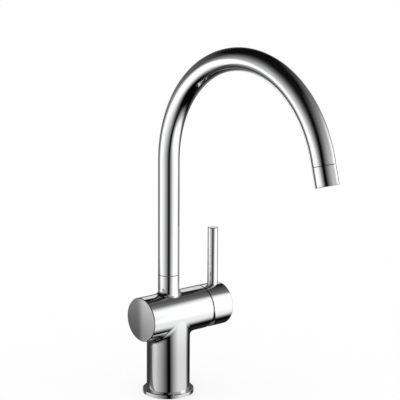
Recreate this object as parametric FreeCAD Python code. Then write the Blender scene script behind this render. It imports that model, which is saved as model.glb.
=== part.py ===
import FreeCAD, Part
import math
import os

# Deck-mounted kitchen tap for hot, cold and filtered water, in millimetres.
# Origin: centre of the base on the deck. +Z is up, the spout points to -Y, the lever is on +X.

V = FreeCAD.Vector

# ---- cartridge: the standard part that the barrel is built around ----
cartridge_diameter = 35.0
cartridge_length = 26.0          # from its seat to the top of its neck
cartridge_top_inset = 3.9        # neck top, in from the barrel's open end
cartridge_shoulder = 6.0         # shoulder under the nut, down from the neck top
cartridge_neck_diameter = 28.0
pivot_below_top = 6.0            # lever pivot, down from the neck top
housing_wall = 2.5
cartridge_base_thickness = 4.5
fixed_disc_thickness = 3.5
moving_disc_thickness = 2.5
moving_disc_diameter = 22.0
mixing_pocket_depth = 1.25
slider_thickness = 4.5
rotor_diameter = 24.8
rotor_flange_width = 1.8
rotor_flange_thickness = 1.2
rotor_gap = 0.3                  # between the slider and the rotor
rotor_top_inset = 0.5
port_inset = 8.0                 # port circle, in from the cartridge's outside
port_radius = 2.6
port_side_angle = 120.0          # hot and cold ports, turned from the top port
port_seal_section = 1.6
port_seal_groove_margin = 0.05

# ---- lever movement ----
lever_tilt = 18.0                # degrees from closed to full flow
stem_width = 8.0
stem_block_behind_pivot = 3.4
stem_ball_radius = 2.4
stem_arm_radius = 1.8
stem_slot_play = 0.1             # each side, in the rotor's slot
rotor_slot_height = 13.0
ball_play = 0.1
pivot_pin_radius = 1.5
pivot_pin_inset = 1.0            # pin end, in from the rotor's side
stem_end_cover = 6.7             # hub metal beyond the stem's end

# ---- barrel, column and collar: one casting ----
barrel_wall = 3.4                # round the mouth that takes the cover ring
barrel_left_length = 39.0
barrel_right_length = 45.9
barrel_end_chamfer = 0.7
barrel_proud = 0.2               # barrel radius over column radius, which lets the two blend
column_height = 60.8             # from the base ring to the barrel's underside
column_wall = 4.7
junction_blend = 7.5
collar_height = 20.8             # above the top of the barrel
collar_blend = 4.5
left_chamber_depth = 23.0
left_chamber_wall = 4.9
cover_skirt_width = 1.0          # cover ring's mouth over the nut's thread
nut_shoulder_width = 2.5         # nut's thread over the cartridge bore
cartridge_bore_play = 0.1
nut_play = 0.05

# ---- water and fixing holes in the casting ----
hose_passage_height = 46.0
inlet_radius = 5.0               # M10 hose ends
inlet_thread_depth = 12.0
inlet_edge = 4.5                 # metal between an inlet and the hose passage's wall
inlet_channel_radius = 3.5
stud_radius = 4.0                # M8 fixing stud
stud_thread_depth = 12.0
stud_edge = 3.0
channel_radius = 3.0
filtered_channel_radius = 2.0
mixing_chamber_radius = 7.0

# ---- base ring ----
base_ring_height = 4.8
base_ring_overhang = 4.4         # beyond the column
base_ring_chamfer = 0.7
spigot_wall = 2.5
base_ring_play = 0.1
gasket_thickness = 1.8
gasket_margin = 1.5              # ring metal on each side of the gasket
gasket_play = 0.1
foot_seal_section = 1.3

# ---- left end cap ----
cap_thickness = 3.0
cap_rim = 0.9                    # casting left round the cap
cap_play = 0.05
cap_spigot_length = 6.0
cap_seal_section = 1.8

# ---- nut and cover ring ----
nut_thickness = 5.7
nut_neck_play = 0.2
nut_runout = 1.0                 # thread past the nut's inner face
nut_slot_width = 4.0
nut_slot_depth = 2.0
nut_slot_edge = 1.0              # metal outside a key slot
nut_slots = 6
cover_inset = 0.4                # cover ring inside the barrel's outline
cover_wall = 1.7
cover_skirt_wall = 1.8
cover_opening_radius = 14.0

# ---- hub and lever ----
hub_gap = 1.6
hub_length = 28.2
hub_edge_round = 1.2
hub_cover_play = 0.35            # between the hub's round cavity and the cover ring
hub_tilt_play = 0.5              # left under the hub at full tilt
lever_diameter = 12.0
lever_from_hub_end = 10.7
lever_length = 65.6              # above the hub
lever_seat_depth = 9.0
lever_seat_play = 0.02
lever_end_round = 1.0
hub_screw_radius = 2.5
hub_screw_length = 8.0
hub_plug_radius = 3.0
hub_plug_thickness = 2.0
hub_plug_inset = 0.4
socket_play = 0.05

# ---- spout ----
tube_diameter = 24.0
tube_wall = 1.0
riser_length = 127.6
bend_radius = 117.1
bend_angle = 164.7
outlet_length = 27.3             # straight after the bend, aerator included
slide_ring_thickness = 0.8
slide_ring_inset = 0.25
slide_play = 0.05
collar_wall = 2.95
journal_play = 0.05
journal_wall = 2.5
journal_depth = 24.0
journal_head_length = 14.0
journal_end_gap = 2.0
journal_seal_section = 1.5
journal_seal_from_end = 3.6
journal_seal_from_joint = 6.0
spout_turn = 70.0                # degrees to each side
stop_tip_radius = 2.0
stop_screw_radius = 2.5
stop_tip_reach = 1.1
stop_play = 0.1
stop_screw_inset = 0.4
stop_below_joint = 13.3

# ---- filtered water line ----
filtered_tube_diameter = 8.0
filtered_tube_wall = 1.0
nipple_radius = 3.2
nipple_bore_radius = 1.8
nipple_top_below_joint = 10.0
nipple_ledge = 1.0               # metal between the nipple's foot and the channel that feeds it
nipple_seal_section = 0.8
nipple_seal_below_top = 4.0
line_socket_wall = 1.0
line_socket_bottom_below_joint = 19.0
line_socket_top_below_joint = 2.0
line_socket_seat = 5.0
line_socket_land = 2.0
line_rib_thickness = 1.2
line_rib_length = 8.0
line_ribs = 3

# ---- outlet ----
aerator_length = 20.3
aerator_seam = 0.7               # open joint between the tube's end and the sleeve
aerator_thread_length = 6.5
aerator_wall = 1.0
aerator_lip = 0.6
aerator_lip_width = 0.9
aerator_step = 0.7
aerator_edge_chamfer = 0.4
bush_length = 6.5
bush_wall = 1.7
thread_play = 0.05
washer_thickness = 1.5
washer_width = 2.3
insert_flange_thickness = 1.5
insert_play = 0.1
insert_recess = 0.8
jet_hole_radius = 0.5
jet_rows = 3
jet_spacing = 1.8                # least distance between the middles of two holes in a row
insert_wall = 1.2
nozzle_wall = 1.2
nozzle_step = 0.3                # nozzle's body over its barb
nozzle_barb_length = 6.0
nozzle_shoulder = 2.0

hex_key_share = 0.55             # across-corners radius of a socket over its screw's radius
hex_key_depth = 1.6
hex_sides = 6
film = 0.02                      # water film between faces that slide on each other
seal_squeeze_room = 0.03
same_place = 0.01                # two sizes nearer than this are taken as one

# ---- worked-out sizes ----
cartridge_radius = cartridge_diameter / 2
neck_radius = cartridge_neck_diameter / 2
rotor_radius = rotor_diameter / 2
nut_radius = cartridge_radius + nut_shoulder_width
mouth_radius = nut_radius + cover_skirt_width
barrel_radius = mouth_radius + barrel_wall
column_radius = barrel_radius - barrel_proud
passage_radius = column_radius - column_wall
spigot_radius = passage_radius + spigot_wall
base_ring_radius = column_radius + base_ring_overhang
left_chamber_radius = barrel_radius - left_chamber_wall
cap_radius = barrel_radius - cap_rim
tube_radius = tube_diameter / 2
tube_bore = tube_radius - tube_wall
collar_bore = tube_radius - collar_wall
journal_radius = collar_bore - journal_play
journal_bore = journal_radius - journal_wall
line_radius = filtered_tube_diameter / 2
line_bore = line_radius - filtered_tube_wall
lever_radius = lever_diameter / 2
port_circle = cartridge_radius - port_inset
fixed_disc_radius = cartridge_radius - housing_wall

# Heights up the column and the riser.
barrel_z = base_ring_height + column_height + barrel_radius
barrel_top_z = barrel_z + barrel_radius
collar_top_z = barrel_top_z + collar_height
joint_z = collar_top_z + slide_ring_thickness
bend_z = joint_z + riser_length
journal_end_z = joint_z - journal_depth
collar_floor_z = journal_end_z - journal_end_gap
chamber_floor_z = barrel_z + port_circle - channel_radius
stop_z = joint_z - stop_below_joint
nipple_top_z = joint_z - nipple_top_below_joint
nipple_foot_z = barrel_z + filtered_channel_radius + nipple_ledge

# Places along the barrel.
left_end_x = -barrel_left_length
mouth_x = barrel_right_length
neck_top_x = mouth_x - cartridge_top_inset
seat_x = neck_top_x - cartridge_length
shoulder_x = neck_top_x - cartridge_shoulder
pivot_x = neck_top_x - pivot_below_top
disc_x = seat_x + cartridge_base_thickness
moving_disc_x = disc_x + fixed_disc_thickness + film
slider_x = moving_disc_x + moving_disc_thickness
rotor_x = slider_x + slider_thickness + rotor_gap
rotor_end_x = neck_top_x - rotor_top_inset
ball_x = slider_x + stem_ball_radius + ball_play + rotor_gap / 2
hub_x = mouth_x + hub_gap
hub_end_x = hub_x + hub_length
lever_x = hub_end_x - lever_from_hub_end
stem_end_x = hub_end_x - stem_end_cover
lever_seat_z = barrel_top_z - lever_seat_depth
lever_top_z = barrel_top_z + lever_length

# The cover ring and the hub's cavity are spheres about the lever's pivot, so they pass at any tilt.
cover_radius = math.hypot(barrel_radius - cover_inset, mouth_x - pivot_x)
cover_bore = cover_radius - cover_wall
hub_cavity = cover_radius + hub_cover_play
cover_end_x = pivot_x + math.sqrt(cover_bore ** 2 - cover_opening_radius ** 2)

# The hub's lower lip is cut back so that it stops just short of the barrel at full tilt.
tilt = math.radians(lever_tilt)
lip_reach = mouth_x - pivot_x + hub_tilt_play + barrel_radius * math.sin(tilt)
hub_lip_x = pivot_x + lip_reach / math.cos(tilt)

# Inlets and stud in the roof of the hose passage.
inlet_circle = passage_radius - inlet_radius - inlet_edge
stud_circle = passage_radius - stud_radius - stud_edge


def rod(radius, start, end):
    """Solid cylinder from one point to another."""
    along = end - start
    return Part.makeCylinder(radius, along.Length, start, along)


def pipe(outer, inner, start, end):
    """Hollow cylinder from one point to another."""
    return rod(outer, start, end).cut(rod(inner, start, end))


def seal(centre, axis, middle_radius, section):
    """Round rubber ring: section is the diameter of the rubber."""
    return Part.makeTorus(middle_radius, section / 2, centre, axis)


def barrel_point(x, y=0.0, z=0.0):
    """Point beside the barrel's axis."""
    return V(x, y, barrel_z + z)


def riser_point(z, x=0.0, y=0.0):
    """Point beside the column's and riser's axis."""
    return V(x, y, z)


def hex_socket(radius, mouth, inward):
    """Hexagonal key hole, cut inward from a screw's face."""
    corner = radius * hex_key_share
    side = inward.cross(V(1, 0, 0)) if abs(inward.x) < 0.5 else inward.cross(V(0, 1, 0))
    side.normalize()
    turn = FreeCAD.Rotation(inward, 360 / hex_sides)
    corners = [side * corner]
    while len(corners) < hex_sides:
        corners.append(turn.multVec(corners[-1]))
    outline = Part.makePolygon([mouth + c for c in corners] + [mouth + corners[0]])
    return Part.Face(outline).extrude(inward * hex_key_depth)


def edges_in_box(shape, low, high):
    """Edges that lie whole inside a box."""
    box = FreeCAD.BoundBox(low.x, low.y, low.z, high.x, high.y, high.z)
    return [edge for edge in shape.Edges if box.isInside(edge.BoundBox)]


def circle_edges(shape, radius, centre):
    """Circular edges of one radius about one centre."""
    found = []
    for edge in shape.Edges:
        curve = edge.Curve
        if isinstance(curve, Part.Circle) and abs(curve.Radius - radius) < same_place:
            if (curve.Center - centre).Length < same_place:
                found.append(edge)
    return found


# ---------------------------------------------------------------- casting

def blended_outside():
    """Column, barrel and collar as one form with blended corners."""
    barrel = rod(barrel_radius, barrel_point(left_end_x), barrel_point(mouth_x))
    column = rod(column_radius, riser_point(base_ring_height), riser_point(barrel_z))
    collar = rod(tube_radius, riser_point(barrel_z), riser_point(collar_top_z))
    form = barrel.fuse([column, collar]).removeSplitter()
    reach = column_radius + barrel_proud
    below = edges_in_box(form, V(-reach, -reach, barrel_z - barrel_radius - barrel_proud),
                         V(reach, reach, barrel_z))
    below = [edge for edge in below if edge.BoundBox.XLength > column_radius]
    form = form.makeFillet(junction_blend, below)
    reach = tube_radius + barrel_proud
    above = edges_in_box(form, V(-reach, -reach, barrel_z + barrel_radius / 2),
                         V(reach, reach, barrel_top_z + barrel_proud))
    return form.makeFillet(collar_blend, above)


def port_places():
    """Cartridge ports as (y, z) beside the barrel's axis, by name."""
    side = math.radians(port_side_angle)
    across, down = port_circle * math.sin(side), port_circle * math.cos(side)
    return {
        "mixed": (0.0, port_circle),
        "filtered_out": (0.0, 0.0),
        "filtered_in": (0.0, -port_circle),
        "hot": (-across, down),
        "cold": (across, down),
    }


def inlet_places():
    """Hose inlets in the roof of the hose passage as (x, y), by name."""
    return {
        "hot": (0.0, -inlet_circle),
        "cold": (0.0, inlet_circle),
        "filtered_in": (inlet_circle, 0.0),
    }


def inlet_holes():
    """Tapped inlets, and the channels that lead up from them to the cartridge's seat."""
    holes = []
    ports = port_places()
    for name, (x, y) in inlet_places().items():
        port_y, port_z = ports[name]
        roof = riser_point(hose_passage_height, x, y)
        holes.append(rod(inlet_radius, roof, roof + V(0, 0, inlet_thread_depth)))
        holes.append(rod(inlet_channel_radius, roof, riser_point(barrel_z + port_z, x, y)))
        holes.append(rod(channel_radius, barrel_point(x, port_y, port_z),
                         barrel_point(seat_x, port_y, port_z)))
    return holes


def outlet_holes():
    """Channels from the cartridge's seat to the foot of the spout."""
    return [
        rod(channel_radius, barrel_point(0, 0, port_circle), barrel_point(seat_x, 0, port_circle)),
        rod(mixing_chamber_radius, riser_point(chamber_floor_z), riser_point(collar_floor_z)),
        rod(collar_bore, riser_point(collar_floor_z), riser_point(collar_top_z)),
        rod(filtered_channel_radius, barrel_point(0), barrel_point(seat_x)),
        rod(nipple_bore_radius, barrel_point(0), riser_point(chamber_floor_z)),
        rod(nipple_radius, riser_point(nipple_foot_z), riser_point(chamber_floor_z)),
    ]


def chamber_holes():
    """Cartridge chamber with its nut thread and cover mouth, and the left chamber."""
    return [
        rod(cartridge_radius + cartridge_bore_play, barrel_point(seat_x), barrel_point(mouth_x)),
        rod(nut_radius + nut_play, barrel_point(shoulder_x - nut_runout), barrel_point(mouth_x)),
        rod(mouth_radius + nut_play, barrel_point(neck_top_x), barrel_point(mouth_x)),
        rod(cap_radius + cap_play, barrel_point(left_end_x), barrel_point(left_end_x + cap_thickness)),
        rod(left_chamber_radius, barrel_point(left_end_x),
            barrel_point(left_end_x + left_chamber_depth)),
    ]


def stud_place():
    """Fixing stud in the roof of the hose passage."""
    return riser_point(hose_passage_height, -stud_circle, 0)


def body_casting():
    """Column, barrel and collar with all their holes, and the spigot for the base ring."""
    form = blended_outside()
    form = form.makeChamfer(barrel_end_chamfer,
                            circle_edges(form, barrel_radius, barrel_point(left_end_x)))
    spigot = rod(spigot_radius, riser_point(0), riser_point(base_ring_height))
    passage = rod(passage_radius, riser_point(0), riser_point(hose_passage_height))
    stud = rod(stud_radius, stud_place(), stud_place() + V(0, 0, stud_thread_depth))
    stop_hole = rod(stop_screw_radius, riser_point(stop_z), riser_point(stop_z, 0, tube_radius))
    foot_groove = pipe(spigot_radius, foot_seal_floor(),
                       foot_seal_centre() - V(0, 0, foot_seal_section / 2 + seal_squeeze_room),
                       foot_seal_centre() + V(0, 0, foot_seal_section / 2 + seal_squeeze_room))
    form = form.fuse(spigot)
    holes = [passage, stud, stop_hole, foot_groove]
    return form.cut(holes + inlet_holes() + outlet_holes() + chamber_holes())


# ---------------------------------------------------------------- base

def foot_seal_centre():
    """Middle of the rubber ring between the casting's spigot and the base ring."""
    return riser_point((base_ring_height + gasket_thickness) / 2)


def foot_seal_floor():
    """Radius of the groove floor in the spigot."""
    return spigot_radius + base_ring_play - foot_seal_section - seal_squeeze_room


def gasket_band():
    """Inner and outer radius of the gasket's groove."""
    return spigot_radius + base_ring_play + gasket_margin, base_ring_radius - gasket_margin


def base_ring():
    """Loose ring under the column, grooved for the gasket."""
    ring = pipe(base_ring_radius, spigot_radius + base_ring_play,
                riser_point(0), riser_point(base_ring_height))
    ring = ring.makeChamfer(base_ring_chamfer,
                            circle_edges(ring, base_ring_radius, riser_point(base_ring_height)))
    inner, outer = gasket_band()
    return ring.cut(pipe(outer, inner, riser_point(0), riser_point(gasket_thickness)))


def base_gasket():
    """Flat rubber ring that seals the base ring on the deck."""
    inner, outer = gasket_band()
    return pipe(outer - gasket_play, inner + gasket_play,
                riser_point(0), riser_point(gasket_thickness))


def foot_seal():
    """Rubber ring round the casting's spigot."""
    middle = foot_seal_floor() + seal_squeeze_room / 2 + foot_seal_section / 2
    return seal(foot_seal_centre(), V(0, 0, 1), middle, foot_seal_section)


# ---------------------------------------------------------------- left end

def cap_seal_x():
    """Middle of the cap's rubber ring."""
    return left_end_x + cap_thickness + cap_spigot_length / 2


def cap_seal_floor():
    """Radius of the groove floor in the cap's spigot."""
    return left_chamber_radius - cap_seal_section - seal_squeeze_room


def end_cap():
    """Flat disc let into the barrel's left end, on a spigot with a sealing groove."""
    disc = rod(cap_radius, barrel_point(left_end_x), barrel_point(left_end_x + cap_thickness))
    spigot = rod(left_chamber_radius - cap_play, barrel_point(left_end_x + cap_thickness),
                 barrel_point(left_end_x + cap_thickness + cap_spigot_length))
    half = cap_seal_section / 2 + seal_squeeze_room
    groove = pipe(left_chamber_radius, cap_seal_floor(),
                  barrel_point(cap_seal_x() - half), barrel_point(cap_seal_x() + half))
    return disc.fuse(spigot).cut(groove)


def end_cap_seal():
    """Rubber ring that holds the cap in the barrel."""
    middle = cap_seal_floor() + seal_squeeze_room / 2 + cap_seal_section / 2
    return seal(barrel_point(cap_seal_x()), V(1, 0, 0), middle, cap_seal_section)


# ---------------------------------------------------------------- cartridge

def port_rods(radius, start_x, end_x):
    """One rod at each cartridge port."""
    return [rod(radius, barrel_point(start_x, y, z), barrel_point(end_x, y, z))
            for y, z in port_places().values()]


def port_seal_radius():
    """Middle radius of a port's rubber ring."""
    return port_radius + port_seal_section / 2 + port_seal_groove_margin


def cartridge_base():
    """Disc with the ports and a seal groove round each."""
    disc = rod(cartridge_radius - cartridge_bore_play, barrel_point(seat_x), barrel_point(disc_x))
    groove_end_x = seat_x + port_seal_section + seal_squeeze_room
    outer = port_seal_radius() + port_seal_section / 2 + port_seal_groove_margin
    return disc.cut(port_rods(port_radius, seat_x, disc_x) + port_rods(outer, seat_x, groove_end_x))


def port_seals():
    """Rubber rings, one in each port groove."""
    middle_x = seat_x + port_seal_section / 2
    return Part.makeCompound([
        seal(barrel_point(middle_x, y, z), V(1, 0, 0), port_seal_radius(), port_seal_section)
        for y, z in port_places().values()])


def fixed_disc():
    """Ceramic disc that stays still, with the ports through it."""
    end_x = disc_x + fixed_disc_thickness
    disc = rod(fixed_disc_radius - cartridge_bore_play, barrel_point(disc_x), barrel_point(end_x))
    return disc.cut(port_rods(port_radius, disc_x, end_x))


def moving_disc():
    """Ceramic disc that turns and slides over the fixed one, with a mixing pocket."""
    disc = rod(moving_disc_diameter / 2, barrel_point(moving_disc_x), barrel_point(slider_x))
    pocket = rod(port_circle - port_radius, barrel_point(moving_disc_x),
                 barrel_point(moving_disc_x + mixing_pocket_depth))
    return disc.cut(pocket)


def disc_slider():
    """Plastic driver on the moving disc, with the hole that the stem's ball works in."""
    end_x = slider_x + slider_thickness
    slider = rod(moving_disc_diameter / 2, barrel_point(slider_x), barrel_point(end_x))
    return slider.cut(rod(stem_ball_radius + ball_play, barrel_point(slider_x), barrel_point(end_x)))


def cartridge_housing():
    """Cartridge case: wide shell, shoulder for the nut, and neck for the rotor."""
    shell = rod(cartridge_radius, barrel_point(disc_x), barrel_point(shoulder_x))
    neck = rod(neck_radius, barrel_point(shoulder_x), barrel_point(neck_top_x))
    flange_room_x = rotor_x + rotor_flange_thickness + rotor_gap
    return shell.fuse(neck).removeSplitter().cut([
        rod(fixed_disc_radius, barrel_point(disc_x), barrel_point(rotor_x - rotor_gap)),
        rod(rotor_radius + rotor_flange_width + rotor_gap, barrel_point(rotor_x - rotor_gap),
            barrel_point(flange_room_x)),
        rod(rotor_radius + journal_play, barrel_point(rotor_x), barrel_point(neck_top_x)),
    ])


def cartridge_rotor():
    """Turning guide that carries the pivot pin and the stem's slot."""
    body = rod(rotor_radius, barrel_point(rotor_x), barrel_point(rotor_end_x))
    flange = rod(rotor_radius + rotor_flange_width, barrel_point(rotor_x),
                 barrel_point(rotor_x + rotor_flange_thickness))
    slot_width = stem_width + 2 * stem_slot_play
    slot = Part.makeBox(rotor_end_x - rotor_x, slot_width, rotor_slot_height,
                        barrel_point(rotor_x, -slot_width / 2, -rotor_slot_height / 2))
    pin_hole = rod(pivot_pin_radius, barrel_point(pivot_x, -rotor_radius),
                   barrel_point(pivot_x, rotor_radius))
    return body.fuse(flange).removeSplitter().cut([slot, pin_hole])


def pivot_pin():
    """Cross pin in the rotor that the stem rocks on."""
    half = rotor_radius - pivot_pin_inset
    return rod(pivot_pin_radius, barrel_point(pivot_x, -half), barrel_point(pivot_x, half))


def lever_stem():
    """Square stem from the pivot into the hub, with an arm and ball below the pivot."""
    block_x = pivot_x - stem_block_behind_pivot
    block = Part.makeBox(stem_end_x - block_x, stem_width, stem_width,
                         barrel_point(block_x, -stem_width / 2, -stem_width / 2))
    arm = rod(stem_arm_radius, barrel_point(ball_x), barrel_point(block_x + stem_arm_radius))
    ball = Part.makeSphere(stem_ball_radius, barrel_point(ball_x))
    pin_hole = rod(pivot_pin_radius + journal_play, barrel_point(pivot_x, -stem_width),
                   barrel_point(pivot_x, stem_width))
    return block.fuse([arm, ball]).cut(pin_hole)


def cartridge_nut():
    """Threaded ring that holds the cartridge down, with key slots in its face."""
    end_x = shoulder_x + nut_thickness
    ring = pipe(nut_radius, neck_radius + nut_neck_play, barrel_point(shoulder_x), barrel_point(end_x))
    slot = Part.makeBox(nut_slot_depth, nut_slot_width, nut_radius,
                        barrel_point(end_x - nut_slot_depth, -nut_slot_width / 2, 0))
    slots = []
    for number in range(nut_slots):
        turned = slot.copy()
        turned.rotate(barrel_point(0), V(1, 0, 0), number * 360 / nut_slots)
        slots.append(turned)
    inside = rod(nut_radius - nut_slot_edge, barrel_point(shoulder_x), barrel_point(end_x))
    return ring.cut([one.common(inside) for one in slots])


def cover_ring():
    """Domed ring in the barrel's mouth that hides the nut."""
    dome = Part.makeSphere(cover_radius, barrel_point(pivot_x))
    dome = dome.common(rod(barrel_radius, barrel_point(mouth_x), barrel_point(cover_end_x)))
    skirt = rod(mouth_radius, barrel_point(neck_top_x), barrel_point(mouth_x))
    hollow = Part.makeSphere(cover_bore, barrel_point(pivot_x))
    skirt_bore = rod(mouth_radius - cover_skirt_wall, barrel_point(neck_top_x),
                     barrel_point(cover_end_x))
    return dome.fuse(skirt).removeSplitter().cut(hollow.common(skirt_bore))


# ---------------------------------------------------------------- hub and lever

def lip_cut():
    """Wedge taken off the hub's lower face, from the barrel's axis down to the lip."""
    deep = barrel_radius * (hub_lip_x - hub_x + hub_gap) / (hub_lip_x - hub_x)
    slope = (hub_lip_x - hub_x) / barrel_radius
    side = 2 * barrel_radius
    corners = [barrel_point(hub_x - hub_gap, -side, 0), barrel_point(hub_x, -side, 0),
               barrel_point(hub_x + slope * deep, -side, -deep),
               barrel_point(hub_x - hub_gap, -side, -deep)]
    outline = Part.makePolygon(corners + corners[:1])
    return Part.Face(outline).extrude(V(0, 2 * side, 0))


def hub():
    """Round hub that carries the lever, hollowed to pass over the cover ring."""
    form = rod(barrel_radius, barrel_point(hub_x), barrel_point(hub_end_x))
    form = form.makeFillet(hub_edge_round,
                           circle_edges(form, barrel_radius, barrel_point(hub_end_x)))
    half = stem_width / 2 + socket_play
    socket = Part.makeBox(stem_end_x - pivot_x, 2 * half, 2 * half,
                          barrel_point(pivot_x, -half, -half))
    lever_hole = rod(lever_radius + lever_seat_play, V(lever_x, 0, lever_seat_z),
                     V(lever_x, 0, barrel_top_z))
    screw_hole = rod(hub_screw_radius, barrel_point(lever_x, 0, -barrel_radius),
                     barrel_point(lever_x))
    plug_hole = rod(hub_plug_radius, barrel_point(lever_x, 0, -barrel_radius),
                    barrel_point(lever_x, 0, hub_plug_thickness + hub_plug_inset - barrel_radius))
    cavity = Part.makeSphere(hub_cavity, barrel_point(pivot_x))
    return form.cut([cavity, lip_cut(), socket, lever_hole, screw_hole, plug_hole])


def lever():
    """Plain round lever that rises from the hub."""
    form = rod(lever_radius, V(lever_x, 0, lever_seat_z), V(lever_x, 0, lever_top_z))
    return form.makeFillet(lever_end_round,
                           circle_edges(form, lever_radius, V(lever_x, 0, lever_top_z)))


def hub_screw():
    """Grub screw that clamps the hub on the stem."""
    top = barrel_point(lever_x, 0, -stem_width / 2)
    foot = top - V(0, 0, hub_screw_length)
    return rod(hub_screw_radius, foot, top).cut(hex_socket(hub_screw_radius, foot, V(0, 0, 1)))


def hub_plug():
    """Small plug over the grub screw's hole."""
    foot = barrel_point(lever_x, 0, hub_plug_inset - barrel_radius)
    return rod(hub_plug_radius, foot, foot + V(0, 0, hub_plug_thickness))


# ---------------------------------------------------------------- spout foot

def slide_ring():
    """Plastic ring on the collar that the spout turns on."""
    return pipe(tube_radius - slide_ring_inset, collar_bore,
                riser_point(collar_top_z), riser_point(joint_z - slide_play))


def journal_seal_heights():
    """Heights of the two rubber rings round the journal."""
    return journal_end_z + journal_seal_from_end, joint_z - journal_seal_from_joint


def journal_seal_floor():
    """Radius of the groove floors in the journal."""
    return journal_radius - journal_seal_section - seal_squeeze_room


def stop_slot():
    """Slot round the journal's back that the stop screw's tip runs in."""
    tip_angle = math.degrees(math.asin((stop_tip_radius + stop_play) / stop_slot_floor()))
    half_angle = spout_turn + tip_angle
    half = stop_tip_radius + stop_play
    band = Part.makeCylinder(collar_bore, 2 * half, riser_point(stop_z - half), V(0, 0, 1),
                             2 * half_angle)
    band.rotate(riser_point(stop_z), V(0, 0, 1), 90 - half_angle)
    return band.cut(rod(stop_slot_floor(), riser_point(stop_z - half), riser_point(stop_z + half)))


def stop_slot_floor():
    """Radius of the floor of the stop slot."""
    return journal_radius - stop_tip_reach - stop_play


def spout_journal():
    """Bush brazed into the tube's foot, which turns in the collar."""
    lower = rod(journal_radius, riser_point(journal_end_z), riser_point(joint_z))
    head = rod(tube_bore, riser_point(joint_z), riser_point(joint_z + journal_head_length))
    bore = rod(journal_bore, riser_point(journal_end_z), riser_point(joint_z + journal_head_length))
    half = V(0, 0, journal_seal_section / 2 + seal_squeeze_room)
    grooves = [pipe(collar_bore, journal_seal_floor(), riser_point(z) - half, riser_point(z) + half)
               for z in journal_seal_heights()]
    return lower.fuse(head).cut([bore, stop_slot()] + grooves)


def journal_seals():
    """Two rubber rings round the journal."""
    middle = journal_seal_floor() + seal_squeeze_room / 2 + journal_seal_section / 2
    return Part.makeCompound([seal(riser_point(z), V(0, 0, 1), middle, journal_seal_section)
                              for z in journal_seal_heights()])


def stop_screw():
    """Grub screw in the back of the collar: keeps the spout in and limits its turn."""
    outer = riser_point(stop_z, 0, tube_radius - stop_screw_inset)
    neck = riser_point(stop_z, 0, collar_bore + journal_play)
    tip = riser_point(stop_z, 0, journal_radius - stop_tip_reach)
    screw = rod(stop_screw_radius, neck, outer).fuse(rod(stop_tip_radius, tip, neck))
    return screw.cut(hex_socket(stop_screw_radius, outer, V(0, -1, 0)))


# ---------------------------------------------------------------- filtered line

def filtered_nipple():
    """Pipe that brings filtered water up the middle of the spout's foot."""
    groove_z = nipple_top_z - nipple_seal_below_top
    half = V(0, 0, nipple_seal_section / 2 + seal_squeeze_room)
    groove = pipe(nipple_radius, nipple_seal_floor(), riser_point(groove_z) - half,
                  riser_point(groove_z) + half)
    nipple = pipe(nipple_radius, nipple_bore_radius, riser_point(nipple_foot_z),
                  riser_point(nipple_top_z))
    return nipple.cut(groove)


def nipple_seal_floor():
    """Radius of the groove floor in the nipple."""
    return nipple_radius - nipple_seal_section - seal_squeeze_room + journal_play


def nipple_seal():
    """Rubber ring round the nipple."""
    middle = nipple_seal_floor() + seal_squeeze_room / 2 + nipple_seal_section / 2
    return seal(riser_point(nipple_top_z - nipple_seal_below_top), V(0, 0, 1), middle,
                nipple_seal_section)


def line_socket_top_z():
    """Top of the socket that joins the filtered tube to the nipple."""
    return joint_z - line_socket_top_below_joint


def line_socket():
    """Socket on three ribs in the journal: slides on the nipple and holds the filtered tube."""
    foot_z = joint_z - line_socket_bottom_below_joint
    top_z = line_socket_top_z()
    seat_z = top_z - line_socket_seat
    outer = line_radius + line_socket_wall
    form = rod(outer, riser_point(foot_z), riser_point(top_z))
    rib_z = seat_z - line_rib_length
    wall = rod(journal_bore, riser_point(rib_z), riser_point(seat_z))
    rib = Part.makeBox(journal_bore + line_rib_thickness, line_rib_thickness, line_rib_length,
                       riser_point(rib_z, 0, -line_rib_thickness / 2)).common(wall)
    for number in range(line_ribs):
        turned = rib.copy()
        turned.rotate(riser_point(0), V(0, 0, 1), number * 360 / line_ribs)
        form = form.fuse(turned)
    return form.cut([
        rod(nipple_radius + journal_play, riser_point(foot_z), riser_point(seat_z - line_socket_land)),
        rod(line_bore, riser_point(foot_z), riser_point(top_z)),
        rod(line_radius, riser_point(seat_z), riser_point(top_z)),
    ])


# ---------------------------------------------------------------- spout

def bend_point(angle):
    """Point on the spout's centre line, by its angle round the bend in degrees."""
    turn = math.radians(angle)
    return V(0, bend_radius * (math.cos(turn) - 1), bend_z + bend_radius * math.sin(turn))


def outlet_way():
    """Direction of the water at the outlet."""
    turn = math.radians(bend_angle)
    return V(0, -math.sin(turn), math.cos(turn))


def outlet_point(along):
    """Point on the outlet's axis, measured from the end of the spout tube."""
    return bend_point(bend_angle) + outlet_way() * (outlet_length - aerator_length + along)


def bent_rod(radius, foot_z):
    """Solid of one radius along the spout: riser, bend and short straight end."""
    riser = rod(radius, riser_point(foot_z), riser_point(bend_z))
    ring = Part.Face(Part.Wire(Part.makeCircle(radius, riser_point(bend_z), V(0, 0, 1))))
    bend = ring.revolve(V(0, -bend_radius, bend_z), V(1, 0, 0), bend_angle)
    end = rod(radius, bend_point(bend_angle), outlet_point(0))
    return riser.fuse([bend, end]).removeSplitter()


def spout_tube():
    """Swan-neck tube."""
    return bent_rod(tube_radius, joint_z).cut(bent_rod(tube_bore, joint_z))


def filtered_tube():
    """Hose inside the spout that keeps filtered water apart."""
    foot_z = line_socket_top_z() - line_socket_seat
    return bent_rod(line_radius, foot_z).cut(bent_rod(line_bore, foot_z))


# ---------------------------------------------------------------- outlet

def washer_start():
    """Washer's upper face, along the outlet."""
    return aerator_thread_length


def insert_start():
    """Aerator insert's upper face, along the outlet."""
    return aerator_thread_length + washer_thickness


def step_start():
    """Ledge inside the shell that the insert's flange rests on, along the outlet."""
    return insert_start() + insert_flange_thickness


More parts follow.
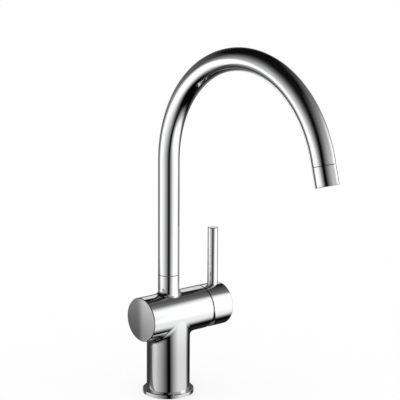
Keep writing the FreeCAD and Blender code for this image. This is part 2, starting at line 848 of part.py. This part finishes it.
def outlet_bush():
    """Threaded bush brazed into the end of the spout tube."""
    inside = rod(tube_bore, outlet_point(-bush_length), outlet_point(0))
    thread = rod(tube_radius - aerator_wall - thread_play, outlet_point(0),
                 outlet_point(aerator_thread_length))
    bore = rod(tube_bore - bush_wall, outlet_point(-bush_length),
               outlet_point(aerator_thread_length))
    return inside.fuse(thread).cut(bore)


def aerator_shell():
    """Sleeve that screws on the bush, flush with the tube."""
    bore = tube_radius - aerator_wall
    lip = bore - aerator_step - aerator_lip_width
    shell = rod(tube_radius, outlet_point(aerator_seam), outlet_point(aerator_length))
    shell = shell.makeChamfer(aerator_edge_chamfer,
                              circle_edges(shell, tube_radius, outlet_point(aerator_length)))
    return shell.cut([
        rod(bore, outlet_point(0), outlet_point(step_start())),
        rod(bore - aerator_step, outlet_point(0), outlet_point(aerator_length - aerator_lip)),
        rod(lip, outlet_point(0), outlet_point(aerator_length)),
    ])


def aerator_washer():
    """Rubber washer between the bush and the insert."""
    outer = tube_radius - aerator_wall - insert_play
    return pipe(outer, outer - washer_width, outlet_point(washer_start()),
                outlet_point(insert_start()))


def jet_holes(start, end, inner, outer):
    """Rows of small holes through the insert's floor, between its boss and its wall."""
    side = outlet_way().cross(V(1, 0, 0))
    holes = []
    for row in range(jet_rows):
        circle = inner + (row + 0.5) * (outer - inner) / jet_rows
        count = int(2 * math.pi * circle / jet_spacing)
        for number in range(count):
            turn = 2 * math.pi * number / count
            off = V(1, 0, 0) * (circle * math.cos(turn)) + side * (circle * math.sin(turn))
            holes.append(rod(jet_hole_radius, outlet_point(start) + off, outlet_point(end) + off))
    return holes


def nozzle_radius():
    """Outside of the filtered nozzle."""
    return line_bore - thread_play + nozzle_step


def aerator_insert():
    """Plastic insert: hollow cup whose floor is pierced for the mixed water."""
    outer = tube_radius - aerator_wall - insert_play
    cup_radius = outer - aerator_step
    cup_bore = cup_radius - insert_wall
    boss_radius = nozzle_radius() + insert_wall
    end = aerator_length - insert_recess
    floor = end - insert_flange_thickness
    flange = rod(outer, outlet_point(insert_start()), outlet_point(step_start()))
    cup = rod(cup_radius, outlet_point(insert_start()), outlet_point(end))
    hollow = rod(cup_bore, outlet_point(insert_start()), outlet_point(floor))
    boss = rod(boss_radius, outlet_point(insert_start()), outlet_point(end))
    centre = rod(nozzle_radius() + thread_play, outlet_point(insert_start()), outlet_point(end))
    form = flange.fuse(cup).removeSplitter().cut(hollow).fuse(boss)
    return form.cut([centre] + jet_holes(floor, end, boss_radius, cup_bore))


def filtered_nozzle():
    """Nozzle in the middle of the insert, on the end of the filtered tube."""
    barb = rod(line_bore - thread_play, outlet_point(-nozzle_barb_length),
               outlet_point(nozzle_shoulder))
    body = rod(nozzle_radius(), outlet_point(nozzle_shoulder),
               outlet_point(aerator_length - insert_recess / 2))
    bore = rod(line_bore - thread_play - nozzle_wall, outlet_point(-nozzle_barb_length),
               outlet_point(aerator_length))
    return barb.fuse(body).cut(bore)


NODES = {
    "base_ring": base_ring,
    "base_gasket": base_gasket,
    "foot_seal": foot_seal,
    "body_casting": body_casting,
    "end_cap": end_cap,
    "end_cap_seal": end_cap_seal,
    "cartridge_base": cartridge_base,
    "port_seals": port_seals,
    "fixed_ceramic_disc": fixed_disc,
    "moving_ceramic_disc": moving_disc,
    "disc_slider": disc_slider,
    "cartridge_housing": cartridge_housing,
    "cartridge_rotor": cartridge_rotor,
    "pivot_pin": pivot_pin,
    "lever_stem": lever_stem,
    "cartridge_nut": cartridge_nut,
    "cover_ring": cover_ring,
    "hub": hub,
    "lever": lever,
    "hub_grub_screw": hub_screw,
    "hub_plug": hub_plug,
    "slide_ring": slide_ring,
    "spout_journal": spout_journal,
    "journal_seals": journal_seals,
    "spout_stop_screw": stop_screw,
    "filtered_nipple": filtered_nipple,
    "nipple_seal": nipple_seal,
    "line_socket": line_socket,
    "filtered_tube": filtered_tube,
    "spout_tube": spout_tube,
    "outlet_bush": outlet_bush,
    "aerator_shell": aerator_shell,
    "aerator_washer": aerator_washer,
    "aerator_insert": aerator_insert,
    "filtered_nozzle": filtered_nozzle,
}

os.makedirs("parts", exist_ok=True)
for name, build in NODES.items():
    build().exportStep("parts/" + name + ".step")
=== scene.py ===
"""Looks of a chrome three-way kitchen tap: finishes, visible pieces, studio and camera.

Metres throughout. The column stands on the origin, the spout points to -Y and the lever is on +X.
Compass angles are in degrees: 0 is the way the spout points and 90 is the lever's side.
"""

import logging
import math
from dataclasses import dataclass, replace
from enum import Enum
from typing import ClassVar

import bpy
from mathutils import Matrix, Vector

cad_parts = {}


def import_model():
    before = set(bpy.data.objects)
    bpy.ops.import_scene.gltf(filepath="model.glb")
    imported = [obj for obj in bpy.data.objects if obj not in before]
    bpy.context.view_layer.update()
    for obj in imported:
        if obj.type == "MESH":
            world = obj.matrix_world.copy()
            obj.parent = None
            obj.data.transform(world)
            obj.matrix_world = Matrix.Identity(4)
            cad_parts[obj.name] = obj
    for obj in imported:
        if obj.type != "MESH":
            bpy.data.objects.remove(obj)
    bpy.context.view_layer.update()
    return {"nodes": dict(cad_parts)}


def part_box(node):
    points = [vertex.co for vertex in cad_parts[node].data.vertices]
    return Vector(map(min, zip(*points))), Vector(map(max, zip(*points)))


log = logging.getLogger("tap")

Colour = tuple[float, float, float]
SocketColour = tuple[float, float, float, float]

WHITE: SocketColour = (1.0, 1.0, 1.0, 1.0)
BLACK: SocketColour = (0.0, 0.0, 0.0, 1.0)


# ---------------------------------------------------------------- shader maths

class Value:
    """A shader socket that Python's operators work on."""

    def __init__(self, graph: "Graph", socket: bpy.types.NodeSocket) -> None:
        """Wraps one output socket.

        Args:
            graph: the graph that the socket belongs to.
            socket: the output socket.
        """
        self.graph = graph
        self.socket = socket

    def __add__(self, other: "Operand") -> "Value":
        """Sum."""
        return self.graph.math("ADD", self, other)

    def __radd__(self, other: "Operand") -> "Value":
        """Sum, with this on the right."""
        return self.graph.math("ADD", other, self)

    def __sub__(self, other: "Operand") -> "Value":
        """Difference."""
        return self.graph.math("SUBTRACT", self, other)

    def __rsub__(self, other: "Operand") -> "Value":
        """Difference, with this on the right."""
        return self.graph.math("SUBTRACT", other, self)

    def __mul__(self, other: "Operand") -> "Value":
        """Product."""
        return self.graph.math("MULTIPLY", self, other)

    def __rmul__(self, other: "Operand") -> "Value":
        """Product, with this on the right."""
        return self.graph.math("MULTIPLY", other, self)

    def __pow__(self, other: "Operand") -> "Value":
        """Power."""
        return self.graph.math("POWER", self, other)


Operand = Value | float

# A Mix node has sockets for each kind of value. These are the ones that mix colours.
MIX_SHARE = 0
MIX_FIRST = 6
MIX_SECOND = 7
MIX_RESULT = 2


class Graph:
    """Builds the nodes of one material or world."""

    def __init__(self, tree: bpy.types.NodeTree) -> None:
        """Takes over a tree and empties it.

        Args:
            tree: the node tree to build in.
        """
        self.tree = tree
        tree.nodes.clear()

    def node(self, kind: str, settings: dict | None = None,
             inputs: dict | None = None) -> bpy.types.Node:
        """Makes one node.

        Args:
            kind: the node's type name.
            settings: its properties, set before its sockets.
            inputs: its sockets by name or number, each a value or a link.

        Returns:
            The new node.
        """
        made = self.tree.nodes.new(kind)
        for name, value in (settings or {}).items():
            setattr(made, name, value)
        for name, value in (inputs or {}).items():
            if isinstance(value, Value):
                self.tree.links.new(value.socket, made.inputs[name])
            else:
                made.inputs[name].default_value = value
        return made

    def value(self, kind: str, settings: dict | None = None, inputs: dict | None = None,
              output: str | int = 0) -> Value:
        """Makes one node and wraps one of its outputs.

        Args:
            kind: the node's type name.
            settings: its properties.
            inputs: its sockets.
            output: name or number of the output.

        Returns:
            The wrapped output.
        """
        return Value(self, self.node(kind, settings, inputs).outputs[output])

    def math(self, operation: str, *operands: Operand) -> Value:
        """One Math node."""
        return self.value("ShaderNodeMath", {"operation": operation}, dict(enumerate(operands)))

    def mix_colours(self, share: Operand, first: Colour, second: Colour) -> Value:
        """Colour that goes from the first to the second with a share.

        Args:
            share: 0 for the first and 1 for the second.
            first: the first colour.
            second: the second colour.

        Returns:
            The mixed colour.
        """
        return self.value("ShaderNodeMix", {"data_type": "RGBA"}, {
            MIX_SHARE: share, MIX_FIRST: (*first, 1.0), MIX_SECOND: (*second, 1.0)}, MIX_RESULT)

    def mix_shaders(self, share: Operand, first: Value, second: Value) -> Value:
        """Shader that goes from the first to the second with a share."""
        return self.value("ShaderNodeMixShader", None, {0: share, 1: first, 2: second})

    def fade(self, value: Operand, gone: float, full: float, smooth: bool = False) -> Value:
        """Share that goes from 0 to 1 between two values.

        Args:
            value: what is measured.
            gone: where the share is 0.
            full: where the share is 1, above or below gone.
            smooth: whether both ends ease in.

        Returns:
            The share.
        """
        low, high = sorted((gone, full))
        at_low = 1.0 if full < gone else 0.0
        return self.value(
            "ShaderNodeMapRange", {"interpolation_type": "SMOOTHSTEP" if smooth else "LINEAR"},
            {"Value": value, "From Min": low, "From Max": high, "To Min": at_low,
             "To Max": 1.0 - at_low})

    def split(self, vector: Value) -> tuple[Value, Value, Value]:
        """The three parts of a vector."""
        parts = self.node("ShaderNodeSeparateXYZ", None, {0: vector}).outputs
        return Value(self, parts[0]), Value(self, parts[1]), Value(self, parts[2])

    def length(self, x: Value, y: Value) -> Value:
        """Length of a flat vector."""
        return self.math("SQRT", x * x + y * y)

    def compass(self, x: Value, y: Value, middle: float = 0.0) -> Value:
        """Compass angle of a direction, measured from a middle one, from -180 to 180.

        Args:
            x: the direction's part along X.
            y: the direction's part along Y.
            middle: the compass angle that gives 0.

        Returns:
            The angle in degrees.
        """
        turn = math.radians(middle)
        ahead = x * math.sin(turn) - y * math.cos(turn)
        beside = x * math.cos(turn) + y * math.sin(turn)
        return self.math("ARCTAN2", beside, ahead) * math.degrees(1.0)


# ---------------------------------------------------------------- finishes

class Grain(Enum):
    """How the fine marks of a surface run."""

    EVEN = "the same every way"
    ROUND_RISER = "in rings about the riser"
    ROUND_BARREL = "in rings about the barrel"


@dataclass(frozen=True)
class Finish:
    """Surface of one material: two tints in soft patches, and fine marks over them.

    The smoothest and roughest value are its roughness in the patches. The width of a patch and
    of a mark, and the marks' relief, are in metres.
    """

    name: str
    light: Colour
    dark: Colour
    metallic: float
    smoothest: float
    roughest: float
    patch: float
    mark: float
    relief: float
    grain: Grain = Grain.EVEN
    coat: float = 0.0
    patch_detail: float = 3.0
    patch_roughness: float = 0.55
    patch_share: float = 0.6
    mark_detail: float = 2.0

    def material(self) -> bpy.types.Material:
        """Builds the material.

        Returns:
            The material.
        """
        made = bpy.data.materials.new(self.name)
        made.use_nodes = True
        graph = Graph(made.node_tree)
        place = graph.value("ShaderNodeTexCoord", None, None, "Object")
        patches = graph.value("ShaderNodeTexNoise", None, {
            "Vector": place, "Scale": 1.0 / self.patch, "Detail": self.patch_detail,
            "Roughness": self.patch_roughness})
        marks = self._marks(graph, place)
        tint = graph.mix_colours(patches, self.dark, self.light)
        unevenness = patches * self.patch_share + marks * (1.0 - self.patch_share)
        roughness = unevenness * (self.roughest - self.smoothest) + self.smoothest
        bump = graph.value("ShaderNodeBump", None, {
            "Height": marks, "Distance": self.relief, "Strength": 1.0})
        shader = graph.value("ShaderNodeBsdfPrincipled", None, {
            "Base Color": tint, "Metallic": self.metallic, "Roughness": roughness,
            "Normal": bump, "Coat Weight": self.coat})
        graph.node("ShaderNodeOutputMaterial", None, {"Surface": shader})
        return made

    def _marks(self, graph: Graph, place: Value) -> Value:
        """Height of the fine marks, from 0 to 1.

        Args:
            graph: the material's graph.
            place: the object coordinates.

        Returns:
            The height.
        """
        if self.grain is not Grain.EVEN:
            place = self._ringed(graph, place)
        return graph.value("ShaderNodeTexNoise", None, {
            "Vector": place, "Scale": 1.0 / self.mark, "Detail": self.mark_detail})

    def _ringed(self, graph: Graph, place: Value) -> Value:
        """Coordinates that stay the same round an axis, so that marks become rings.

        Args:
            graph: the material's graph.
            place: the object coordinates.

        Returns:
            The distance from the axis and the place along it, as a vector.
        """
        x, y, z = graph.split(place)
        if self.grain is Grain.ROUND_RISER:
            off, along = graph.length(x, y), z
        else:
            low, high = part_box("end_cap")
            up = z - (low[2] + high[2]) / 2
            off, along = graph.length(y, up), x
        return graph.value("ShaderNodeCombineXYZ", None, {0: off, 1: along, 2: 0.0})


CHROME = Finish(
    "chrome_plate", light=(0.93, 0.93, 0.935), dark=(0.90, 0.905, 0.915), metallic=1.0,
    smoothest=0.03, roughest=0.06, patch=0.03, mark=0.0012, relief=0.0000002)
BRASS = Finish(
    "turned_brass", light=(0.78, 0.60, 0.32), dark=(0.62, 0.45, 0.21), metallic=1.0,
    smoothest=0.18, roughest=0.34, patch=0.008, mark=0.0003, relief=0.00001,
    grain=Grain.ROUND_RISER)
NUT_BRASS = replace(BRASS, name="turned_nut_brass", grain=Grain.ROUND_BARREL)
# Brass of the outlet bush, painted near-black: painted shade for the narrow seam at the outlet
# that it shows through.
SEAM_SHADE_BRASS = Finish(
    "brass_with_painted_seam_shade", light=(0.060, 0.052, 0.040), dark=(0.030, 0.026, 0.022),
    metallic=1.0, smoothest=0.35, roughest=0.5, patch=0.004, mark=0.0003, relief=0.00001)
STEEL = Finish(
    "stainless_steel", light=(0.66, 0.66, 0.67), dark=(0.52, 0.52, 0.53), metallic=1.0,
    smoothest=0.2, roughest=0.34, patch=0.004, mark=0.0003, relief=0.000006)
STEM_STEEL = Finish(
    "sintered_steel", light=(0.62, 0.60, 0.57), dark=(0.47, 0.45, 0.42), metallic=1.0,
    smoothest=0.36, roughest=0.55, patch=0.005, mark=0.0004, relief=0.00002)
RUBBER = Finish(
    "black_rubber", light=(0.045, 0.045, 0.045), dark=(0.02, 0.02, 0.02), metallic=0.0,
    smoothest=0.5, roughest=0.72, patch=0.006, mark=0.0005, relief=0.00002)
CERAMIC = Finish(
    "white_ceramic", light=(0.94, 0.94, 0.92), dark=(0.87, 0.87, 0.84), metallic=0.0,
    smoothest=0.12, roughest=0.22, patch=0.006, mark=0.0003, relief=0.000002, coat=0.3)
CARTRIDGE_PLASTIC = Finish(
    "pale_cartridge_plastic", light=(0.83, 0.83, 0.81), dark=(0.74, 0.74, 0.71), metallic=0.0,
    smoothest=0.34, roughest=0.5, patch=0.008, mark=0.0004, relief=0.00001)
DARK_PLASTIC = Finish(
    "dark_moulded_plastic", light=(0.075, 0.075, 0.08), dark=(0.04, 0.04, 0.045), metallic=0.0,
    smoothest=0.34, roughest=0.5, patch=0.006, mark=0.0004, relief=0.00001)
BLACK_PLASTIC = Finish(
    "black_moulded_plastic", light=(0.030, 0.030, 0.032), dark=(0.016, 0.016, 0.018),
    metallic=0.0, smoothest=0.5, roughest=0.68, patch=0.006, mark=0.0004, relief=0.00001)
LIGHT_PLASTIC = Finish(
    "light_moulded_plastic", light=(0.80, 0.80, 0.79), dark=(0.71, 0.71, 0.70), metallic=0.0,
    smoothest=0.34, roughest=0.5, patch=0.006, mark=0.0004, relief=0.00001)
HOSE_PLASTIC = Finish(
    "extruded_hose", light=(0.87, 0.90, 0.92), dark=(0.79, 0.82, 0.85), metallic=0.0,
    smoothest=0.25, roughest=0.38, patch=0.006, mark=0.0005, relief=0.00001)


# ---------------------------------------------------------------- sub-assemblies

class SubAssembly:
    """Pieces that are dressed together. Their meshes come with the frame, and none is added."""

    finishes: ClassVar[dict[str, Finish]]

    def dress(self, nodes: dict[str, bpy.types.Object],
              materials: dict[str, bpy.types.Material]) -> None:
        """Gives each node its finish.

        Args:
            nodes: the node objects by name.
            materials: the built materials by name, filled in as they are needed.
        """
        for name, finish in self.finishes.items():
            if finish.name not in materials:
                materials[finish.name] = finish.material()
            for slot in nodes[name].material_slots:
                slot.material = materials[finish.name]
            log.info("dressed %s with %s", name, finish.name)


class Foot(SubAssembly):
    """Base ring with its gasket and seal."""

    finishes = {"base_ring": CHROME, "base_gasket": RUBBER, "foot_seal": RUBBER}


class Casting(SubAssembly):
    """Column, barrel and collar, with what is fixed to them."""

    finishes = {
        "body_casting": CHROME, "end_cap": CHROME, "end_cap_seal": RUBBER,
        "slide_ring": DARK_PLASTIC, "spout_stop_screw": STEEL, "filtered_nipple": BRASS,
        "nipple_seal": RUBBER}


class Cartridge(SubAssembly):
    """Ceramic valve with its case, nut and cover."""

    finishes = {
        "cartridge_base": CARTRIDGE_PLASTIC, "port_seals": RUBBER,
        "fixed_ceramic_disc": CERAMIC, "moving_ceramic_disc": CERAMIC,
        "disc_slider": CARTRIDGE_PLASTIC, "cartridge_housing": CARTRIDGE_PLASTIC,
        "cartridge_rotor": CARTRIDGE_PLASTIC, "pivot_pin": STEEL,
        "cartridge_nut": NUT_BRASS, "cover_ring": BLACK_PLASTIC}


class Handle(SubAssembly):
    """Hub and lever on the cartridge's stem."""

    finishes = {
        "lever_stem": STEM_STEEL, "hub": CHROME, "lever": CHROME, "hub_grub_screw": STEEL,
        "hub_plug": DARK_PLASTIC}


class Spout(SubAssembly):
    """Swan-neck tube with its journal and the hose inside it."""

    finishes = {
        "spout_journal": BRASS, "journal_seals": RUBBER, "line_socket": LIGHT_PLASTIC,
        "filtered_tube": HOSE_PLASTIC, "spout_tube": CHROME}


class Outlet(SubAssembly):
    """Aerator sleeve with its bush, washer, insert and nozzle."""

    finishes = {
        "outlet_bush": SEAM_SHADE_BRASS, "aerator_shell": CHROME, "aerator_washer": RUBBER,
        "aerator_insert": LIGHT_PLASTIC, "filtered_nozzle": LIGHT_PLASTIC}


# ---------------------------------------------------------------- studio

def deselect() -> None:
    """Leaves nothing selected."""
    bpy.ops.object.select_all(action="DESELECT")


@dataclass(frozen=True)
class Edge:
    """Soft edge of a light or a shade: where it is full, where it is gone, and its curve."""

    full: float
    gone: float
    power: float = 1.0

    def share(self, graph: Graph, place: Value, middle: float = 0.0,
              smooth: bool = False) -> Value:
        """Share of the light or shade at a place.

        Args:
            graph: the graph to build in.
            place: the place across the edge.
            middle: the value of the edge's own scale that the place is measured from.
            smooth: whether both ends ease in.

        Returns:
            The share, 1 where the edge is full and 0 where it is gone.
        """
        share = graph.fade(place, self.gone - middle, self.full - middle, smooth)
        return share if self.power == 1.0 else share ** self.power


@dataclass(frozen=True)
class Softbox:
    """Soft-edged bright area round the tap, between two compass angles and two heights.

    The heights are elevations in degrees. The corner, where there is one, cuts the lower right
    off along a slope: it is measured as the compass angle less the elevation.
    """

    left: Edge
    right: Edge
    low: Edge
    high: Edge
    level: float
    corner: Edge | None = None

    def light(self, graph: Graph, x: Value, y: Value, elevation: Value) -> Value:
        """Brightness that the softbox adds in a direction.

        Args:
            graph: the world's graph.
            x: the direction's part along X.
            y: the direction's part along Y.
            elevation: the direction's height over the horizon, in degrees.

        Returns:
            The brightness.
        """
        middle = (self.left.full + self.right.full) / 2
        off = graph.compass(x, y, middle)
        share = self.left.share(graph, off, middle) * self.right.share(graph, off, middle)
        share = share * self.low.share(graph, elevation) * self.high.share(graph, elevation)
        if self.corner:
            share = share * self.corner.share(graph, off - elevation, middle, smooth=True)
        return share * self.level


@dataclass(frozen=True)
class FloorShade:
    """Sector of the floor that reflections see darker.

    Its edge is in degrees and its reach in metres. Its point is a place on the X axis.
    """

    edge: Edge
    reach: Edge | None = None
    depth: float = 1.0
    point: float = 0.0

    def inside(self, graph: Graph, x: Value, y: Value) -> Value:
        """How far a place of the floor is inside the sector, from 0 to 1."""
        return self.edge.share(graph, graph.compass(x - self.point, y), smooth=True)

    def passed(self, graph: Graph, x: Value, y: Value) -> Value:
        """Share of the light that the shade lets through.

        Args:
            graph: the floor's graph.
            x: the place along X.
            y: the place along Y.

        Returns:
            The share.
        """
        shade = self.inside(graph, x, y) * self.depth
        if self.reach:
            shade = shade * self.reach.share(graph, graph.length(x, y))
        return 1.0 - shade


@dataclass(frozen=True)
class Card:
    """Upright card that faces the tap, and that only reflections see.

    Its compass angle is in degrees and its soft borders, like all the rest, are in metres.
    """

    name: str
    turn: float
    distance: float
    width: float
    low: float
    high: float
    soft_side: float
    soft_low: float
    soft_high: float
    level: float

    def build(self) -> None:
        """Makes the card."""
        deselect()
        turn = math.radians(self.turn)
        middle = (self.distance * math.sin(turn), -self.distance * math.cos(turn),
                  (self.low + self.high) / 2)
        bpy.ops.mesh.primitive_plane_add(size=1.0, location=middle,
                                         rotation=(math.pi / 2, 0.0, turn))
        card = bpy.context.object
        card.name = self.name
        height = self.high - self.low
        card.scale = (self.width, height, 1.0)
        made = bpy.data.materials.new(self.name)
        made.use_nodes = True
        graph = Graph(made.node_tree)
        across, up, _ = graph.split(graph.value("ShaderNodeTexCoord", None, None, "Object"))
        beside, above = graph.math("ABSOLUTE", across) * self.width, up * height
        share = graph.fade(beside, self.width / 2, self.width / 2 - self.soft_side, smooth=True)
        share = share * graph.fade(above, -height / 2, self.soft_low - height / 2, smooth=True)
        share = share * graph.fade(above, height / 2, height / 2 - self.soft_high, smooth=True)
        seen = graph.value("ShaderNodeLightPath", None, None, "Is Glossy Ray")
        clear = graph.value("ShaderNodeBsdfTransparent")
        glow = graph.value("ShaderNodeEmission", None, {"Strength": self.level})
        both = graph.mix_shaders(seen * share, clear, glow)
        graph.node("ShaderNodeOutputMaterial", None, {"Surface": both})
        card.data.materials.append(made)
        log.info("built %s", self.name)


@dataclass(frozen=True)
class Studio:
    """What the chrome reflects, the even light on everything, and the floor.

    Reflections see the softboxes above the horizon, and below it through the floor, which dims
    them near the tap and in its shades. The left shade isn't quite black.
    """

    left_low: Softbox = Softbox(
        left=Edge(-149, -166), right=Edge(-113, -41), low=Edge(-34, -60), high=Edge(-3, 3),
        level=1.1)
    left_high: Softbox = Softbox(
        left=Edge(-125, -155), right=Edge(-104, -60), low=Edge(3, -3), high=Edge(-3, 68, 2.2),
        level=0.95)
    right_low: Softbox = Softbox(
        left=Edge(18, -30), right=Edge(68, 96), low=Edge(-42, -69), high=Edge(-2, 3),
        level=1.1, corner=Edge(80, 126))
    right_high: Softbox = Softbox(
        left=Edge(20, -42), right=Edge(55, 122), low=Edge(3, -2), high=Edge(-2, 72, 1.2),
        level=0.72)
    right_floor: Softbox = Softbox(
        left=Edge(2, -28), right=Edge(60, 85), low=Edge(-45, -66), high=Edge(-30, -12),
        level=0.35, corner=Edge(80, 126))
    rear_low: Softbox = Softbox(
        left=Edge(152, 146), right=Edge(172, 178), low=Edge(-24, -34), high=Edge(-4, 4),
        level=0.8)
    rear_fill: Softbox = Softbox(
        left=Edge(112, 88), right=Edge(195, 218), low=Edge(-60, -78), high=Edge(6, 32),
        level=0.15)
    dark: float = 0.004
    cards: tuple[Card, ...] = (
        Card("front_card", turn=46.0, distance=0.40, width=0.30, low=0.0, high=0.54,
             soft_side=0.075, soft_low=0.11, soft_high=0.24, level=1.1),
        Card("rear_card", turn=135.0, distance=0.30, width=0.20, low=0.15, high=0.37,
             soft_side=0.05, soft_low=0.055, soft_high=0.055, level=0.75),
    )
    floor_radius: float = 30.0
    floor_sides: int = 64
    floor_grey: float = 0.985
    floor_glow: float = 0.8           # share of its brightness, as the camera sees it, that glows
    near_floor: Edge = Edge(full=0.46, gone=0.12)      # metres from the column
    near_floor_share: float = 0.6     # let through where near_floor is gone
    right_shade: FloorShade = FloorShade(
        edge=Edge(96, 52), reach=Edge(0.20, 0.40), depth=0.8)
    left_shade: FloorShade = FloorShade(edge=Edge(-150, -108), reach=Edge(0.26, 0.66))
    left_shade_glow: float = 0.045
    barrel_shade: FloorShade = FloorShade(edge=Edge(-142.6, -141), depth=0.67, point=-0.039)

    def build(self) -> None:
        """Makes the world, the floor and the cards."""
        self._build_world()
        self._build_floor()
        for card in self.cards:
            card.build()

    def _build_world(self) -> None:
        """White all round, except that reflections see softboxes in a dark room."""
        world = bpy.data.worlds.new("studio")
        bpy.context.scene.world = world
        world.use_nodes = True
        graph = Graph(world.node_tree)
        x, y, z = graph.split(graph.value("ShaderNodeTexCoord", None, None, "Generated"))
        elevation = graph.math("ARCSINE", z) * math.degrees(1.0)
        level: Operand = self.dark
        for box in (self.left_low, self.left_high, self.right_low, self.right_high,
                    self.right_floor, self.rear_low, self.rear_fill):
            level = level + box.light(graph, x, y, elevation)
        seen = graph.value("ShaderNodeLightPath", None, None, "Is Glossy Ray")
        strength = seen * level + (1.0 - seen)
        back = graph.value("ShaderNodeBackground", None, {"Strength": strength, "Color": WHITE})
        graph.node("ShaderNodeOutputWorld", None, {"Surface": back})

    def _build_floor(self) -> None:
        """Round pale floor. Reflections see the softboxes through it, dimmed near the tap."""
        deselect()
        bpy.ops.mesh.primitive_circle_add(vertices=self.floor_sides, radius=self.floor_radius,
                                          fill_type="NGON", location=(0, 0, 0))
        floor = bpy.context.object
        floor.name = "floor"
        made = bpy.data.materials.new("floor")
        made.use_nodes = True
        graph = Graph(made.node_tree)
        grey = (self.floor_grey, self.floor_grey, self.floor_grey, 1.0)
        pale = graph.value("ShaderNodeBsdfDiffuse", None, {"Color": grey})
        glow = graph.value("ShaderNodeEmission", None, {"Color": WHITE})
        path = graph.node("ShaderNodeLightPath")
        to_camera = Value(graph, path.outputs["Is Camera Ray"])
        seen = graph.mix_shaders(to_camera * self.floor_glow, pale, glow)
        lit, shade = self._floor_light(graph)
        clear = graph.value("ShaderNodeBsdfTransparent")
        black = graph.value("ShaderNodeBsdfDiffuse", None, {"Color": BLACK})
        dim = graph.value("ShaderNodeEmission", None, {"Strength": self.left_shade_glow})
        reflected = graph.mix_shaders(lit, graph.mix_shaders(shade, black, dim), clear)
        to_mirror = Value(graph, path.outputs["Is Glossy Ray"])
        both = graph.mix_shaders(to_mirror, seen, reflected)
        graph.node("ShaderNodeOutputMaterial", None, {"Surface": both})
        floor.data.materials.append(made)
        log.info("built floor")

    def _floor_light(self, graph: Graph) -> tuple[Value, Value]:
        """What reflections see in the floor.

        Args:
            graph: the floor's graph.

        Returns:
            How much of the surround shows in it, and how far a place is inside the left shade,
            both from 0 to 1.
        """
        x, y, _ = graph.split(graph.value("ShaderNodeTexCoord", None, None, "Object"))
        far = self.near_floor.share(graph, graph.length(x, y), smooth=True)
        lit = far * (1.0 - self.near_floor_share) + self.near_floor_share
        for shade in (self.right_shade, self.left_shade, self.barrel_shade):
            lit = lit * shade.passed(graph, x, y)
        return lit, self.left_shade.inside(graph, x, y)


# ---------------------------------------------------------------- camera

@dataclass(frozen=True)
class PhotoCamera:
    """Camera at the photo's place: angles in degrees, lengths in metres."""

    yaw: float = 40.91
    pitch: float = 11.09
    roll: float = 0.4
    target: tuple[float, float, float] = (0.0, 0.0, 0.192)
    distance: float = 1.4207
    to_right: float = 0.03437
    upwards: float = 0.02673
    frame_pixels: float = 400.0
    focal_pixels: float = 1292.83
    sensor: float = 36.0

    def build(self) -> None:
        """Makes the camera and sets it as the scene's."""
        yaw, pitch, roll = (math.radians(v) for v in (self.yaw, self.pitch, self.roll))
        look = Vector((math.sin(yaw) * math.cos(pitch), math.cos(yaw) * math.cos(pitch),
                       -math.sin(pitch)))
        right = Vector((math.cos(yaw), -math.sin(yaw), 0.0))
        up = right.cross(look)
        place = Vector(self.target) - look * self.distance + right * self.to_right
        place += up * self.upwards
        turned_right = right * math.cos(roll) + up * math.sin(roll)
        turned_up = up * math.cos(roll) - right * math.sin(roll)
        data = bpy.data.cameras.new("photo_camera")
        data.sensor_width = self.sensor
        data.lens = self.focal_pixels / self.frame_pixels * self.sensor
        camera = bpy.data.objects.new("photo_camera", data)
        axes = Matrix((turned_right, turned_up, -look)).transposed()
        camera.matrix_world = Matrix.Translation(place) @ axes.to_4x4()
        bpy.context.scene.collection.objects.link(camera)
        bpy.context.scene.camera = camera
        log.info("built %s", camera.name)


def main() -> None:
    """Loads the frame, dresses it, and builds the studio."""
    logging.basicConfig(level=logging.INFO, format="%(message)s")
    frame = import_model()
    bpy.context.scene.view_settings.view_transform = "Standard"
    PhotoCamera().build()
    Studio().build()
    materials: dict[str, bpy.types.Material] = {}
    for part in (Foot(), Casting(), Cartridge(), Handle(), Spout(), Outlet()):
        part.dress(frame["nodes"], materials)


if __name__ == "__main__":
    main()
